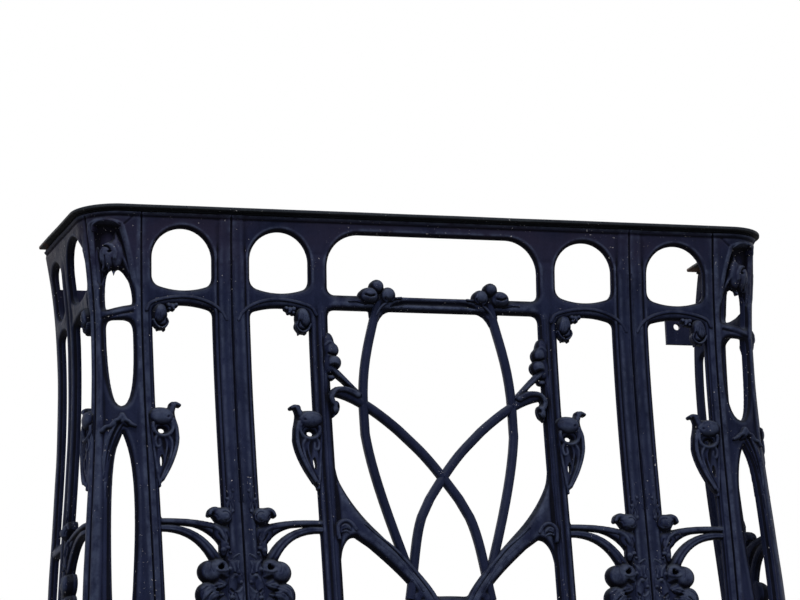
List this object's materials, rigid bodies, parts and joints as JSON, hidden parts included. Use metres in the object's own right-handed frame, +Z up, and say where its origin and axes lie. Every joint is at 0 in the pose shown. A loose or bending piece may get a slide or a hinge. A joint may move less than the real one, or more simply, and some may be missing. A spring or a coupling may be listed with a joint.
{
  "type": "cast-iron balcony front",
  "caption": "U-shaped openwork balcony front of bowed castings with stem, pod and berry ornament under a flat handrail, bolted to sill and wall.",
  "frame": {"origin": "centre of the rectangle of four sill bolts in the side arms of the base bar, at the underside of that bar", "axes": "+X to the right as seen from the street, +Y into the wall, +Z up; the front faces -Y"},
  "size_m": [1.393, 0.3546, 1],
  "materials": {
    "casting_paint": "blue-black satin paint on cast iron, chipped and dusty",
    "rail_paint": "blue-black satin paint on flat bar, worn at the edges"
  },
  "bodies": {
    "root": {"handrail": "rail_paint", "rail_moulding": "rail_paint", "base_bar": "rail_paint", "middle_casting": "casting_paint", "middle_tracery": "casting_paint", "left_bay_casting": "casting_paint", "right_bay_casting": "casting_paint", "left_corner_casting": "casting_paint", "right_corner_casting": "casting_paint", "left_return_casting": "casting_paint", "right_return_casting": "casting_paint", "left_pilaster_ribs": "casting_paint", "right_pilaster_ribs": "casting_paint", "left_pilaster_leaves": "casting_paint", "right_pilaster_leaves": "casting_paint", "left_return_relief": "casting_paint", "right_return_relief": "casting_paint", "left_jamb_relief": "casting_paint", "right_jamb_relief": "casting_paint", "left_corner_ribs": "casting_paint", "right_corner_ribs": "casting_paint", "left_outer_pod": "casting_paint", "left_inner_pod": "casting_paint", "right_inner_pod": "casting_paint", "right_outer_pod": "casting_paint", "left_outer_bud": "casting_paint", "left_inner_bud": "casting_paint", "right_inner_bud": "casting_paint", "right_outer_bud": "casting_paint", "left_outer_branch": "casting_paint", "left_inner_branch": "casting_paint", "right_inner_branch": "casting_paint", "right_outer_branch": "casting_paint", "left_band_berries": "casting_paint", "right_band_berries": "casting_paint", "left_corner_drop": "casting_paint", "right_corner_drop": "casting_paint", "left_crossband_beads": "casting_paint", "right_crossband_beads": "casting_paint", "brace_ridges": "casting_paint", "left_upper_wall_lug": "casting_paint", "left_lower_wall_lug": "casting_paint", "right_upper_wall_lug": "casting_paint", "right_lower_wall_lug": "casting_paint"}
  },
  "joints": []
}
